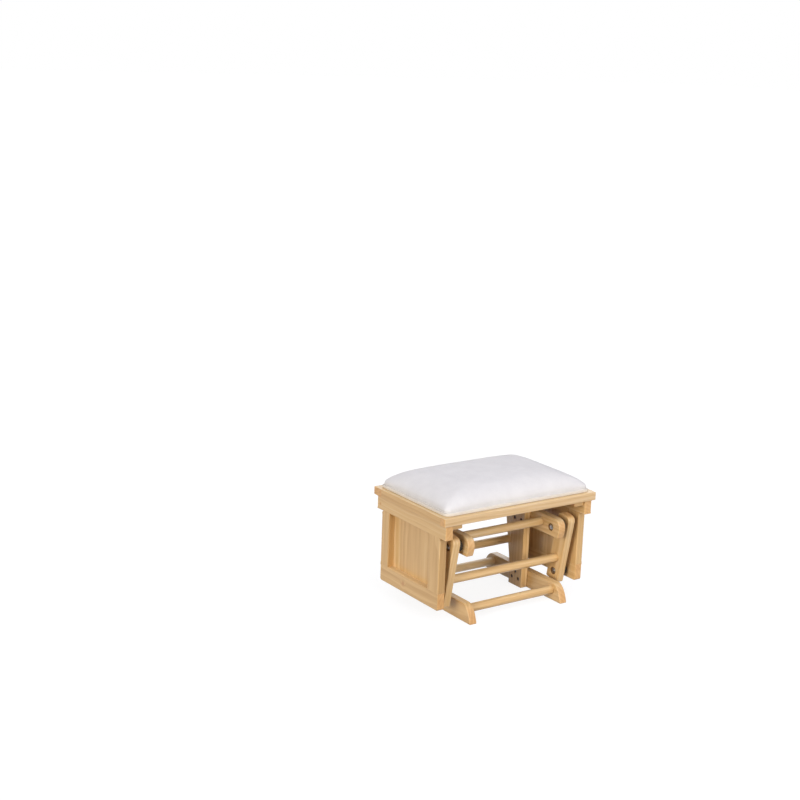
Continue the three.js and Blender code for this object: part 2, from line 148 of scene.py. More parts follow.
def outlineSamples(outline):
    # Each corner V of radius r becomes an arc about c = V - r m, where m = (n1 + n2) / (1 + n1.n2) is the
    # mitre of the normals of its two sides. At an inset d a sample lies at
    # c + max(r - d, 0) n - max(d - r, 0) m, and held samples beside an arc at c + r n - d n + h t.
    rows = np.array(outline, float)
    spot, radius, edge = rows[:, :2], rows[:, 2], rows[:, 3]
    ahead = np.roll(spot, -1, 0) - spot
    ahead /= np.linalg.norm(ahead, axis=1, keepdims=True)
    behind = np.roll(ahead, 1, 0)
    normalIn = np.stack([behind[:, 1], -behind[:, 0]], -1)
    normalOut = np.stack([ahead[:, 1], -ahead[:, 0]], -1)
    dot = (normalIn * normalOut).sum(1)
    mitre = (normalIn + normalOut) / (1 + dot)[:, None]
    turn = np.arctan2(normalIn[:, 0] * normalOut[:, 1] - normalIn[:, 1] * normalOut[:, 0], dot)
    arc = meshSteps["arc"]
    steps = np.where(radius > 0, arc + 3, 1)
    which = np.repeat(np.arange(len(rows)), steps)
    step = np.arange(len(which)) - np.repeat(np.cumsum(steps) - steps, steps)
    rounded = radius[which] > 0
    before, after = rounded & (step == 0), rounded & (step == arc + 2)
    share = np.where(rounded, np.clip((step - 1) / arc, 0, 1), 0.5)
    angle = np.arctan2(normalIn[:, 1], normalIn[:, 0])[which] + share * turn[which]
    reach = meshSteps["hold"] + np.maximum(edge - radius, 0) * np.tan(np.abs(turn) / 2)
    slide = np.where(before[:, None], -behind[which], 0.0) + np.where(after[:, None], ahead[which], 0.0)
    return dict(centre=(spot - radius[:, None] * mitre)[which], radius=radius[which], edge=edge[which],
                normal=np.stack([np.cos(angle), np.sin(angle)], -1), mitre=mitre[which],
                slide=slide * reach[which][:, None], held=before | after)


def insetOutline(parts, inset):
    # the outline drawn in by inset, one distance for each sample
    radius, held = parts["radius"], parts["held"]
    out = np.where(held, radius - inset, np.maximum(radius - inset, 0))
    back = np.where(held, 0, np.maximum(inset - radius, 0))
    return parts["centre"] + out[:, None] * parts["normal"] - back[:, None] * parts["mitre"] + parts["slide"]


def slab(name, outline, fromX, toX):
    # An outline in (y, z) made thick along x. Its rims are quarter rounds of each corner's own edge e:
    # inset e (1 - sin a), rise e (1 - cos a), for a from 0 to 90 degrees.
    parts = outlineSamples(outline)
    edge, hold = parts["edge"], meshSteps["hold"]
    rows = [(edge + hold, edge * 0)]
    rows += [(edge * (1 - math.sin(a)), edge * (1 - math.cos(a)))
             for a in np.linspace(0, math.pi / 2, meshSteps["edge"] + 1)]
    rows += [(edge * 0, edge + hold)]
    flat = [insetOutline(parts, inset) for inset, rise in rows]
    low = [np.column_stack([fromX + rise, points]) for points, (inset, rise) in zip(flat, rows)]
    high = [np.column_stack([toX - rise, points]) for points, (inset, rise) in zip(flat, rows)]
    return softened(newPiece(name, np.concatenate(low + high[::-1]), cappedFaces(2 * len(rows), len(edge))))


def rectangle(front, rear, bottom, top, radius, edge):
    # Corners in order: front low, rear low, rear high, front high. Radius and edge may be four values.
    radii, edges = np.broadcast_to(radius, 4), np.broadcast_to(edge, 4)
    spots = ((front, bottom), (rear, bottom), (rear, top), (front, top))
    return [(y, z, radii[i], edges[i]) for i, (y, z) in enumerate(spots)]


def joinedRectangle(front, rear, bottom, top, radii, sideEdges, lead=meshSteps["lead"]):
    # A rectangle with its own edge on each side: below, rear, above, front. The change from one edge to
    # the next takes place on the side with the larger edge, within a short lead before the corner.
    spots = np.array(((front, bottom), (rear, bottom), (rear, top), (front, top)))
    radii = np.broadcast_to(radii, 4)
    outline = []
    for i in range(4):
        before, after = sideEdges[i - 1], sideEdges[i]
        small = min(before, after)
        back, ahead = spots[i - 1] - spots[i], spots[(i + 1) % 4] - spots[i]
        if before > small:
            outline.append((*(spots[i] + lead * back / np.linalg.norm(back)), 0.0, before))
        outline.append((*spots[i], radii[i], small))
        if after > small:
            outline.append((*(spots[i] + lead * ahead / np.linalg.norm(ahead)), 0.0, after))
    return outline


def bezier(points, edge):
    # a Bezier curve of degree d as sharp outline corners: the sum of C(d, k) t^k (1 - t)^(d - k) P_k
    spots = np.array(points, float)
    degree = len(spots) - 1
    t = np.linspace(0, 1, meshSteps["curve"] + 1)[:, None]
    curve = sum(math.comb(degree, k) * t ** k * (1 - t) ** (degree - k) * spots[k] for k in range(degree + 1))
    return [(y, z, 0.0, edge) for y, z in curve]


def eased(profile, radius):
    # A profile of (radius, along) whose inner corners V are replaced by the curve
    # (1-s)^2 A + 2 s (1-s) V + s^2 B between points A and B that lie radius away on its two sides.
    spots = np.array(profile, float)
    ahead = np.diff(spots, axis=0)
    length = np.linalg.norm(ahead, axis=1, keepdims=True)
    ahead /= length
    reach = np.minimum(radius, 0.45 * length)    # so that two curves on a short side don't meet
    start = spots[1:-1] - ahead[:-1] * reach[:-1]
    end = spots[1:-1] + ahead[1:] * reach[1:]
    s = np.linspace(0, 1, meshSteps["ease"])[None, :, None]
    curve = (1 - s) ** 2 * start[:, None] + 2 * s * (1 - s) * spots[1:-1, None] + s ** 2 * end[:, None]
    return np.concatenate([spots[:1], curve.reshape(-1, 2), spots[-1:]])


def turnedShell(profile, startX, side, y, z, facets=meshSteps["turned"]):
    # A lathe about x: ring k is (startX + side s_k, y + r_k cos a, z + r_k sin a). A profile that starts
    # and ends on the axis is closed by poles, and one that ends where it starts is a ring.
    profile = np.array(profile, float)
    rows = len(profile)
    a = np.arange(facets) * 2 * math.pi / facets
    x = startX + side * np.repeat(profile[:, 1], facets)
    ringY = y + np.outer(profile[:, 0], np.cos(a)).ravel()
    ringZ = z + np.outer(profile[:, 0], np.sin(a)).ravel()
    points = np.column_stack([x, ringY, ringZ])
    if np.allclose(profile[0], profile[-1]):
        return points[:-facets], gridFaces(rows - 1, facets, side < 0, closed=True)
    poles = [[startX + side * along, y, z] for along in (profile[0, 1], profile[-1, 1])]
    return np.concatenate([points[facets:-facets], poles]), poledFaces(rows - 2, facets, side < 0)


def turned(name, *shape):
    return softened(newPiece(name, *turnedShell(*shape)))


def boxShell(low, high):
    # the eight corners and six outward faces of a box
    pick = np.array([[i & 1, i >> 1 & 1, i >> 2 & 1] for i in range(8)])
    faces = [[0, 2, 3, 1], [4, 5, 7, 6], [0, 1, 5, 4], [2, 6, 7, 3], [0, 4, 6, 2], [1, 3, 7, 5]]
    return np.where(pick == 1, high, low), faces


def joined(name, shells):
    # several closed shells as one piece
    points, faces, first = [], [], 0
    for shellPoints, shellFaces in shells:
        points.append(shellPoints)
        faces += [[v + first for v in face] for face in shellFaces]
        first += len(shellPoints)
    return newPiece(name, np.concatenate(points), faces)


def settle(piece):
    # applies what modifiers a piece has and leaves a plain mesh
    graph = bpy.context.evaluated_depsgraph_get()
    mesh = bpy.data.meshes.new_from_object(piece.evaluated_get(graph))
    piece.modifiers.clear()
    old = piece.data
    piece.data = mesh
    bpy.data.meshes.remove(old)


def carve(piece, shells):
    # cuts closed shells out of a piece, all in one step, and keeps the result as its mesh
    cutter = joined(piece.name + "Cutter", shells)
    cut = piece.modifiers.new("cut", "BOOLEAN")
    cut.operation = "DIFFERENCE"
    cut.solver = "EXACT"
    cut.object = cutter
    settle(piece)
    bpy.data.objects.remove(cutter)
    return softened(piece)


def finished(piece, material, body, slot, *replaced):
    piece.data.materials.clear()
    piece.data.materials.append(material)
    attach(piece, body)
    if replaced:
        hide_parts(*replaced)
    return piece


def standsFor(piece, material, node):
    # a piece that takes the place and body of one node
    return finished(piece, material, bodyOf[node], slotOf[node], node)


# Materials. Each helper adds one node to the tree that its sockets belong to.


def feed(node, **values):
    # A value that is a socket is linked, and any other is set on the node's own socket.
    for key, value in values.items():
        socket = node.inputs[int(key[1:])] if key[1:].isdigit() else node.inputs[key.replace("_", " ")]
        if isinstance(value, bpy.types.NodeSocket):
            node.id_data.links.new(value, socket)
        else:
            socket.default_value = value


def put(kind, settings=None, tree=None, **values):
    tree = tree or next(value.id_data for value in values.values() if isinstance(value, bpy.types.NodeSocket))
    node = tree.nodes.new("ShaderNode" + kind)
    for key, value in (settings or {}).items():
        setattr(node, key, value)
    feed(node, **values)
    return node


def numbered(values):
    return {f"i{place}": value for place, value in enumerate(values)}


def calc(operation, *values):
    return put("Math", dict(operation=operation), **numbered(values)).outputs[0]


def vectors(operation, *values):
    node = put("VectorMath", dict(operation=operation), **numbered(values))
    return node.outputs["Value" if operation in ("LENGTH", "DISTANCE", "DOT_PRODUCT") else "Vector"]


def stretch(vector, factors):
    return vectors("MULTIPLY", vector, factors)


def split(vector):
    return put("SeparateXYZ", Vector=vector).outputs


def noise(vector, scale=1.0, detail=2.0, roughness=0.5):
    return put("TexNoise", Vector=vector, Scale=scale, Detail=detail, Roughness=roughness).outputs[0]


def summed(total, *values):
    for value in values:
        total = calc("ADD", total, value)
    return total


def swing(value, strength, middle=0.0):
    # a value from 0 to 1 as middle - strength to middle + strength
    return calc("MULTIPLY_ADD", value, strength * 2, middle - strength)


def ranged(value, low, high, toLow=0.0, toHigh=1.0, smooth=True):
    return put("MapRange", dict(interpolation_type="SMOOTHSTEP" if smooth else "LINEAR"), Value=value,
               From_Min=low, From_Max=high, To_Min=toLow, To_Max=toHigh).outputs[0]


def ramp(value, *stops):
    node = put("ValToRGB", Fac=value)
    elements = node.color_ramp.elements
    while len(elements) < len(stops):
        elements.new(0.5)
    for element, (place, colour) in zip(elements, stops):
        element.position = place
        element.color = (*colour, 1)
    return node.outputs[0]


def blendColour(kind, amount, *colours):
    first, second = ((*colour, 1) if isinstance(colour, tuple) else colour for colour in colours)
    return put("Mix", dict(data_type="RGBA", blend_type=kind), i0=amount, i6=first, i7=second).outputs[2]


def bumped(strength, distance, height):
    return put("Bump", Strength=strength, Distance=distance, Height=height).outputs[0]


def newMaterial(name):
    material = bpy.data.materials.new(name)
    material.use_nodes = True
    return material, material.node_tree.nodes["Principled BSDF"]


def newFinish(name):
    # a material, its shader, and the coordinates of the piece that wears it
    material, shader = newMaterial(name)
    return material, shader, put("TexCoord", tree=material.node_tree).outputs


noiseSpan = (0.3, 0.7)    # most of a noise's values lie in this range


def toned(value, look):
    # from a finish's dark tone to its light one
    return ramp(value, *zip(look["stops"], (look["dark"], look["light"])))


def roughened(value, look, smooth=True):
    return ranged(value, *noiseSpan, *look["roughness"], smooth=smooth)


def raised(height, look):
    return bumped(look["bump"], look["bumpHeight"], height)


woodSet = dict(
    dark=(0.520, 0.300, 0.105), middle=(0.700, 0.466, 0.208), light=(0.790, 0.595, 0.345),
    # boreTone is painted shade: the walls and floor of each bore are darkened
    # upTone is painted light: faces turned upwards are made paler, as if lit from above
    endTone=(0.94, 0.81, 0.68), upTone=(1.05, 1.11, 1.22), boreTone=(0.50, 0.40, 0.30),
    knotTone=(0.54, 0.27, 0.10), knotCore=(3 * mm, 9 * mm), knotShare=0.9, knotReach=18 * mm,
    knotPush=8 * mm,
    places=(0.731, 0.417, 0.293), heart=(0.07, 0.05), heartSpread=(0.6, 0.8), taper=0.055,
    wander=0.040, wanderScale=(2.6, 9, 9), ringWidth=9.5 * mm, ringStrength=0.22, ringRise=(0.0, 0.86),
    ringFall=(0.88, 1.0), streakStrength=0.38, streakScale=(2.0, 78, 78), fibreStrength=0.26,
    fibreScale=(16, 520, 520), cloudStrength=0.30, cloudScale=(2.4, 9, 9), staveStrength=0.13,
    middleAt=0.52, endFacing=(0.55, 0.95), sideFacing=(0.6, 0.95), boreRim=(0.1 * mm, 0.4 * mm),
    roughness=(0.36, 0.50), coat=0.45, coatRoughness=0.22, bump=0.10, bumpHeight=0.4 * mm, ringRelief=-0.4,
)
grainTurn = {"x": (0, 0, 0), "y": (0, 0, -math.pi / 2), "z": (0, math.pi / 2, 0)}
grainWay = {"x": (1, 0, 0), "y": (0, 1, 0), "z": (0, 0, 1)}
boardNumbers = itertools.count(1)


def wood(name, grain, tone=0.0, knots=(), staves=0.0, lean=0.0, bores=(), edgeTone=None,
         upTone=woodSet["upTone"]):
    # Boards cut from one trunk: rings r = |(y, z) - heart| / width, warped by noise, over fine fibres
    # stretched along the grain. Each board has its own place in the trunk.
    s, number = woodSet, next(boardNumbers)
    start, *offCentre = (float(place * number % 1.0) for place in s["places"])
    least, spread = s["heartSpread"]
    heart = [reach * (least + spread * off) for reach, off in zip(s["heart"], offCentre)]
    material, shader, here = newFinish(name)
    spot, tilt = here["Object"], split(here["Normal"])
    unleaned = put("Mapping", Vector=spot, Rotation=(lean, 0, 0)).outputs[0] if lean else spot
    along = put("Mapping", Vector=unleaned, Rotation=grainTurn[grain], Location=(start, 0, 0)).outputs[0]
    distance = vectors("LENGTH", stretch(vectors("ADD", along, (0, *heart)), (s["taper"], 1, 1)))
    drift = calc("MULTIPLY_ADD", noise(stretch(along, s["wanderScale"])), s["wander"], distance)
    knotGaps = [vectors("DISTANCE", spot, knot) for knot in knots]
    for gap in knotGaps:
        drift = calc("ADD", drift, ranged(gap, 0.0, s["knotReach"], s["knotPush"], 0.0))
    ring = calc("FRACT", calc("DIVIDE", drift, s["ringWidth"]))
    ringLine = calc("MULTIPLY", ranged(ring, *s["ringRise"]), ranged(ring, *s["ringFall"], 1.0, 0.0))
    streak = noise(stretch(along, s["streakScale"]), detail=3)
    fibre = noise(stretch(along, s["fibreScale"]), detail=3, roughness=0.6)
    cloud = noise(stretch(along, s["cloudScale"]), detail=1)
    tones = summed(swing(streak, s["streakStrength"], 0.5 + tone), swing(fibre, s["fibreStrength"]),
                   swing(cloud, s["cloudStrength"]))
    tones = calc("MULTIPLY_ADD", ringLine, -s["ringStrength"], tones)
    if staves:
        stave = calc("FLOOR", calc("DIVIDE", split(spot)["Y"], staves))
        shade = put("TexWhiteNoise", dict(noise_dimensions="1D"), W=stave).outputs[0]
        tones = calc("ADD", tones, swing(shade, s["staveStrength"]))
    colour = ramp(tones, (0.0, s["dark"]), (s["middleAt"], s["middle"]), (1.0, s["light"]))
    facing = calc("ABSOLUTE", vectors("DOT_PRODUCT", here["Normal"], grainWay[grain]))
    colour = blendColour("MULTIPLY", ranged(facing, *s["endFacing"]), colour, s["endTone"])
    for gap in knotGaps:
        colour = blendColour("MIX", ranged(gap, *s["knotCore"], s["knotShare"], 0.0), colour, s["knotTone"])
    # painted light and shade: faces turned to the front or rear are multiplied by edgeTone
    if edgeTone:
        narrow = ranged(calc("ABSOLUTE", tilt["Y"]), *s["sideFacing"])
        colour = blendColour("MULTIPLY", narrow, colour, edgeTone)
    # painted light: faces turned upwards are multiplied by upTone, so they look lit from above
    upper = ranged(tilt["Z"], *s["sideFacing"])    # upper faces are paler
    colour = blendColour("MULTIPLY", upper, colour, upTone)
    across = stretch(spot, (0, 1, 1))
    # painted shade: the wood inside each bore is multiplied by boreTone, as if shaded in the hole
    for y, z, radius in bores:
        gap = vectors("DISTANCE", across, (0, y, z))
        inside = ranged(gap, *(radius + rim for rim in s["boreRim"]), 1.0, 0.0)
        colour = blendColour("MULTIPLY", inside, colour, s["boreTone"])
    relief = calc("MULTIPLY_ADD", ringLine, s["ringRelief"], fibre)
    feed(shader, Base_Color=colour, Coat_Weight=s["coat"], Coat_Roughness=s["coatRoughness"],
         Roughness=roughened(fibre, s, smooth=False), Normal=raised(relief, s))
    return material


steelSet = dict(dark=(0.26, 0.26, 0.27), light=(0.60, 0.61, 0.62), stops=(0.3, 0.65), roughness=(0.18, 0.34),
                cloudScale=160, markScale=(2600, 240, 240), bump=0.08, bumpHeight=0.1 * mm)
# painted shade: the screw heads are made near black to stand for the shade in their holes
shadeDarkScrewSteelSet = steelSet | dict(dark=(0.045, 0.043, 0.042), light=(0.10, 0.095, 0.09), roughness=(0.35, 0.5))


def steel(name, look):
    # plated steel: a cloudy tone, and fine turning marks round the axis
    material, shader, here = newFinish(name)
    cloud = noise(here["Object"], scale=look["cloudScale"], detail=3)
    marks = noise(stretch(here["Object"], look["markScale"]))
    feed(shader, Base_Color=toned(cloud, look), Metallic=1.0, Roughness=roughened(marks, look),
         Normal=raised(marks, look))
    return material


# the nylon's warm brown tint is a painted reflection of the wood round it
nylonSet = dict(dark=(0.010, 0.007, 0.004), light=(0.022, 0.015, 0.010), stops=(0.3, 0.7),
                roughness=(0.48, 0.62), cloudScale=130, grainScale=2400, bump=0.15, bumpHeight=0.06 * mm)


def nylon(name):
    # black moulded nylon with the fine grain of its mould
    material, shader, here = newFinish(name)
    cloud, grain = (noise(here["Object"], scale=nylonSet[key]) for key in ("cloudScale", "grainScale"))
    feed(shader, Base_Color=toned(cloud, nylonSet), Roughness=roughened(grain, nylonSet),
         Normal=raised(grain, nylonSet))
    return material


brassSet = dict(dark=(0.46, 0.31, 0.11), light=(0.66, 0.48, 0.20), stops=(0.3, 0.7), roughness=(0.42, 0.30),
                tarnishScale=210, thread=1.5 * mm, bump=0.6, bumpHeight=1.0)


def brass(name):
    # knife-thread inserts: a thread wave along x over tarnish
    material, shader, here = newFinish(name)
    tarnish = noise(here["Object"], scale=brassSet["tarnishScale"], detail=3)
    thread = calc("PINGPONG", split(here["Object"])["X"], brassSet["thread"] / 2)
    feed(shader, Base_Color=toned(tarnish, brassSet), Metallic=1.0, Roughness=roughened(tarnish, brassSet),
         Normal=raised(thread, brassSet))
    return material


fabricSet = dict(
    stops=(0.1, 0.9), yarn=0.85 * mm, wobble=0.6 * mm, wobbleScale=90.0, weave=(0.10, -0.13),
    mottle=(1.1, -0.05), mottleScale=26, fuzzScale=900, slub=0.08, slubScale=(40, 700, 700),
    roughness=(0.86, 0.96), bump=0.35, bumpHeight=0.12 * mm, fuzzRelief=0.8, sheen=0.30,
    sheenRoughness=0.45, specular=0.25,
)
padFabric = fabricSet | dict(dark=(0.655, 0.650, 0.654), light=(0.748, 0.743, 0.742))
# bandFabricAndShade is partly the wrap's own cream cloth and partly painted shade: its beige stands for the
# warm shade at the pad's foot
bandFabricAndShade = fabricSet | dict(dark=(0.630, 0.580, 0.500), light=(0.745, 0.695, 0.615))


def fabric(name, look):
    # Plain weave: |sin kx| + |sin ky| + |sin kz| gives crossing yarns on every face, with slubs.
    material, shader, here = newFinish(name)
    spot = here["Object"]
    wobble = put("TexNoise", Vector=spot, Scale=look["wobbleScale"], Detail=1.0).outputs["Color"]
    bent = vectors("MULTIPLY_ADD", wobble, (look["wobble"],) * 3, spot)
    yarns = split(vectors("ABSOLUTE", vectors("SINE", stretch(bent, (math.pi / look["yarn"],) * 3))))
    weave = summed(yarns["X"], yarns["Y"], yarns["Z"])
    mottle = noise(spot, scale=look["mottleScale"], detail=4, roughness=0.6)
    fuzz = noise(spot, scale=look["fuzzScale"])
    slub = noise(stretch(spot, look["slubScale"]))
    tones = summed(calc("MULTIPLY_ADD", weave, *look["weave"]), calc("MULTIPLY_ADD", mottle, *look["mottle"]),
                   swing(fuzz, look["slub"]), swing(slub, look["slub"]))
    relief = calc("MULTIPLY_ADD", fuzz, look["fuzzRelief"], weave)
    feed(shader, Base_Color=toned(tones, look), Specular_IOR_Level=look["specular"],
         Sheen_Weight=look["sheen"], Sheen_Roughness=look["sheenRoughness"],
         Roughness=roughened(fuzz, look), Normal=raised(relief, look))
    return material


plySet = dict(dark=(0.46, 0.29, 0.14), light=(0.62, 0.43, 0.24), stops=(0.1, 0.8), roughness=(0.60, 0.75),
              figureScale=(5, 26, 26), figureLines=9.0, figureShare=0.35, fibreScale=(14, 420, 420),
              fibreShare=0.7, ply=1.5 * mm, plyShare=-0.5, edgeFacing=(0.9, 0.5))


def plywood(name):
    # rotary cut veneer on the faces, and plies of a ply's thickness in turn on the edges
    material, shader, here = newFinish(name)
    s, spot = plySet, here["Object"]
    figure = noise(stretch(spot, s["figureScale"]), detail=3)
    lines = calc("PINGPONG", calc("MULTIPLY", figure, s["figureLines"]), 1.0)
    fibre = noise(stretch(spot, s["fibreScale"]))
    plies = calc("PINGPONG", calc("FLOOR", calc("DIVIDE", split(spot)["Z"], s["ply"])), 1.0)
    edge = ranged(calc("ABSOLUTE", split(here["Normal"])["Z"]), *s["edgeFacing"])
    tones = calc("MULTIPLY_ADD", lines, s["figureShare"], calc("MULTIPLY", fibre, s["fibreShare"]))
    tones = calc("MULTIPLY_ADD", calc("MULTIPLY", edge, plies), s["plyShare"], tones)
    feed(shader, Base_Color=toned(tones, s), Roughness=roughened(fibre, s))
    return material


def dress(node, material):
    # a node whose own shape is right keeps it and gets its finish
    mesh = frame["nodes"][node].data
    mesh.materials.clear()
    mesh.materials.append(material)


def board(node, outline, grain, cuts=(), **look):
    # a node's outline carried from face to face of its box, with its cuts, in wood of its own
    low, high = corners(node)
    piece = slab(node + "_wood", outline, low[0], high[0])
    if cuts:
        carve(piece, cuts)
    standsFor(piece, wood(node, grain, **look), node)


# The base: feet, posts and top bars, tied by four dowels.

dowelSet = dict(radius=11.5 * mm, sink=12 * mm, gap=0.3 * mm, rim=0.5 * mm, endRound=1 * mm,
                # the rear foot dowel and the bar dowels are toned paler: painted light where the seat shades
                # them
                foot=dict(front=-0.08, rear=0.50), bar=dict(front=0.24, rear=0.24), arm=0.02)
footSet = dict(toeRun=34 * mm, controlShares=(0.30, 0.86), edge=1.8 * mm, heel=1.4 * mm, tone=-0.03)
barSet = dict(reach=150 * mm, noseRun=34 * mm, undercut=9 * mm, controlShares=(0.42, 1.04), edge=2.6 * mm,
              heel=1.4 * mm, tone=0.18)
boreSet = dict(head=10 * mm, depth=8.5 * mm, shank=4.3 * mm, rim=0.7 * mm, boss=10.8 * mm,
               bossDepth=9.3 * mm, play=2.7 * mm)
overrun = 3 * mm    # how far a cutter stands out of the wood
# the posts' edgeTone is painted light: their front and rear faces are made paler
# the posts' low tone is painted shade, for the shade that falls on them between the arms and feet
postSet = dict(edge=1.8 * mm, corner=1.6 * mm, tone=-0.22, edgeTone=(1.35, 1.48, 1.72))
screwSet = dict(hole=4.8 * mm, depth=3.6 * mm, rim=0.4 * mm, rimDepth=0.5 * mm, head=4.3 * mm,
                sink=2.0 * mm, hold=2 * mm, ease=0.7 * mm, slot=0.9 * mm, slotReach=2.7 * mm,
                slotDepths=(-1 * mm, 1.1 * mm), facets=32, spread=14 * mm,
                footHeights=(24.5 * mm, 43 * mm), barHeights=(19 * mm, 37 * mm))


def mouth(radius, rim):
    # the start of a bore's profile, a chamfer at 45 degrees that begins outside the wood
    return [(0, -overrun), (radius + rim + overrun, -overrun), (radius + rim, 0), (radius, rim)]


def dowelSocket(inner, side, y, z):
    r = dowelSet["radius"] + dowelSet["gap"]
    profile = mouth(r, dowelSet["rim"]) + [(r, dowelSet["sink"]), (0, dowelSet["sink"])]
    return turnedShell(profile, inner, side, y, z)


def endedOutline(curve, look):
    # flat below between two heels, with a curve up the rear end and its mirror image down the front end
    sole, bottom = curve[0]
    edge, heel = look["edge"], look["heel"]
    rear = bezier(curve, edge)[1:]
    front = bezier([(-y, z) for y, z in curve[::-1]], edge)[:-1]
    return [(-sole, bottom, heel, edge), (sole, bottom, heel, edge)] + rear + front


def footOutline(node):
    # a toe at each end falls away in one long curve
    _, reach, _, top = sideOn(node)
    run, (acrossShare, upShare) = footSet["toeRun"], footSet["controlShares"]
    toe = [(reach, 0.0), (reach - run * acrossShare, top * upShare), (reach - run, top)]
    return endedOutline(toe, footSet)


def barOutline(node):
    # a full nose at each end
    _, _, bottom, top = sideOn(node)
    reach, (lowShare, highShare) = barSet["reach"], barSet["controlShares"]
    nose = [(reach - barSet["undercut"], bottom), (reach, bottom + (top - bottom) * lowShare),
            (reach * highShare, top), (reach - barSet["noseRun"], top)]
    return endedOutline(nose, barSet)


def dowel(node, tone):
    low, high = corners(node)
    radius, length = dowelSet["radius"], high[0] - low[0]
    profile = eased([(0, 0), (radius, 0), (radius, length), (0, length)], dowelSet["endRound"])
    standsFor(turned(node + "_turned", profile, low[0], 1, *axisOf(node)), wood(node, "x", tone=tone), node)


def screw(name, inner, side, y, z, material):
    # a sunk head with a crossed slot
    s = screwSet
    end = s["depth"] + s["hold"]
    profile = eased([(0, s["sink"]), (s["head"], s["sink"]), (s["head"], end), (0, end)], s["ease"])
    piece = turned(name, profile, inner, side, y, z, s["facets"])
    lowX, highX = sorted(inner + side * (s["sink"] + depth) for depth in s["slotDepths"])
    for halfY, halfZ in ((s["slotReach"], s["slot"] / 2), (s["slot"] / 2, s["slotReach"])):
        carve(piece, [boxShell((lowX, y - halfY, z - halfZ), (highX, y + halfY, z + halfZ))])
    finished(piece, material, "base", "bolt_steel")


def buildBase(dark):
    for sideName, side in sides:
        foot, bar, post = (f"{sideName}_{kind}" for kind in ("foot", "top_bar", "post"))
        inner, _ = innerOuter(foot, side)
        sockets = [dowelSocket(inner, side, *axisOf(f"{end}_foot_dowel")) for end, sign in ends]
        board(foot, footOutline(foot), "y", sockets, tone=footSet["tone"])

        inner, outer = innerOuter(bar, side)
        head, shank, deep = boreSet["head"], boreSet["shank"], boreSet["depth"]
        through = abs(outer - inner) + overrun
        profile = mouth(head, boreSet["rim"]) + [(head, deep), (shank, deep), (shank, through), (0, through)]
        pivots = [pivotAt(upperPivot, sign) for end, sign in ends]
        holes = [dowelSocket(inner, side, *axisOf(f"{end}_bar_dowel")) for end, sign in ends]
        holes += [turnedShell(profile, inner, side, y, z) for y, z in pivots]
        board(bar, barOutline(bar), "y", holes, tone=barSet["tone"], bores=[(y, z, head) for y, z in pivots])

        # two screws low and one high at the foot, and the same at the top bar
        s, (inner, _) = screwSet, innerOuter(post, side)
        joints = (s["footHeights"], np.add(sideOn(bar)[2], s["barHeights"]))
        spots = [(y, z) for low, high in joints
                 for y, z in ((s["spread"], low), (-s["spread"], low), (0.0, high))]
        r, deep = s["hole"], s["depth"]
        profile = [(0, -overrun), (r + overrun, -overrun), (r + s["rim"], 0), (r, s["rimDepth"]),
                   (r, deep), (0, deep)]
        holes = [turnedShell(profile, inner, side, y, z, s["facets"]) for y, z in spots]
        outline = rectangle(*sideOn(post), postSet["corner"], postSet["edge"])
        board(post, outline, "z", holes, tone=postSet["tone"], bores=[(y, z, r) for y, z in spots],
              edgeTone=postSet["edgeTone"])
        for i, (y, z) in enumerate(spots):
            screw(f"{sideName}_post_screw_{i + 1}", inner, side, y, z, dark)
    for end, sign in ends:
        dowel(f"{end}_foot_dowel", dowelSet["foot"][end])
        dowel(f"{end}_bar_dowel", dowelSet["bar"][end])
    print("base made")


# The swing arms, drawn hanging straight down and then leant about their upper pivots.

armSet = dict(width=48 * mm, topReach=31 * mm, bottomReach=26 * mm, topRadius=15 * mm, bottomRadius=5 * mm,
              edge=2.4 * mm, dowelDrop=100 * mm,
              # the front arms are toned paler than the rear ones: painted light on the arms nearest the front
              tones=dict(front=dict(left=0.22, right=0.18), rear=dict(left=-0.03, right=-0.03)))


def leanPiece(piece, sign):
    # Turns (y, z) about the upper pivot: y' = y0 + dy cos a - dz sin a, z' = z0 + dy sin a + dz cos a.
    a = -sign * armLean
    points = coordinates(piece.data)
    y, z = points[:, 1].copy(), points[:, 2].copy()
    pivotY, pivotZ = pivotAt(upperPivot, sign)
    points[:, 1] = pivotY + y * math.cos(a) - z * math.sin(a)
    points[:, 2] = pivotZ + y * math.sin(a) + z * math.cos(a)
    moveTo(piece, points)


def pivotBore(width, play):
    # through an arm: a counterbore for a bolt's head, a bore for its shank and a seat for a bearing's boss
    head, shank, boss = boreSet["head"] + play, boreSet["shank"] + play, boreSet["boss"]
    deep, seat, through = boreSet["depth"], width - boreSet["bossDepth"], width + overrun
    rim = boreSet["rim"]
    return [(0, -overrun), (head + rim + overrun, -overrun), (head, rim), (head, deep), (shank, deep),
            (shank, seat), (boss, seat), (boss, through), (0, through)]


def buildArms():
    half, top, bottom = armSet["width"] / 2, armSet["topReach"], -armSpan - armSet["bottomReach"]
    radii = [armSet["bottomRadius"]] * 2 + [armSet["topRadius"]] * 2
    for end, sign in ends:
        play = boreSet["play"] if sign > 0 else 0.0
        for sideName, side in sides:
            arm = f"{end}_{sideName}_arm"
            low, high = corners(arm)
            inner, _ = innerOuter(arm, side)
            width = high[0] - low[0]
            outline = rectangle(-half, half, bottom, top, radii, armSet["edge"])
            piece = slab(arm + "_wood", outline, low[0], high[0])
            upper = [(r, width - along) for r, along in pivotBore(width, 0.0)][::-1]
            carve(piece, [turnedShell(upper, inner, side, 0, 0),
                          turnedShell(pivotBore(width, play), inner, side, 0, -armSpan),
                          dowelSocket(inner, side, 0, -armSet["dowelDrop"])])
            leanPiece(piece, sign)
            bores = ((*pivotAt(upperPivot, sign), boreSet["head"]),
                     (*pivotAt(lowerPivot, sign), boreSet["head"] + play))
            tone = armSet["tones"][end][sideName]
            standsFor(piece, wood(arm, "z", tone=tone, lean=sign * armLean, bores=bores), arm)
        dowel(f"{end}_arm_dowel", dowelSet["arm"])
    print("swing arms made")


# Pivots: bearing blocks, bolts, lock nuts and inserts.

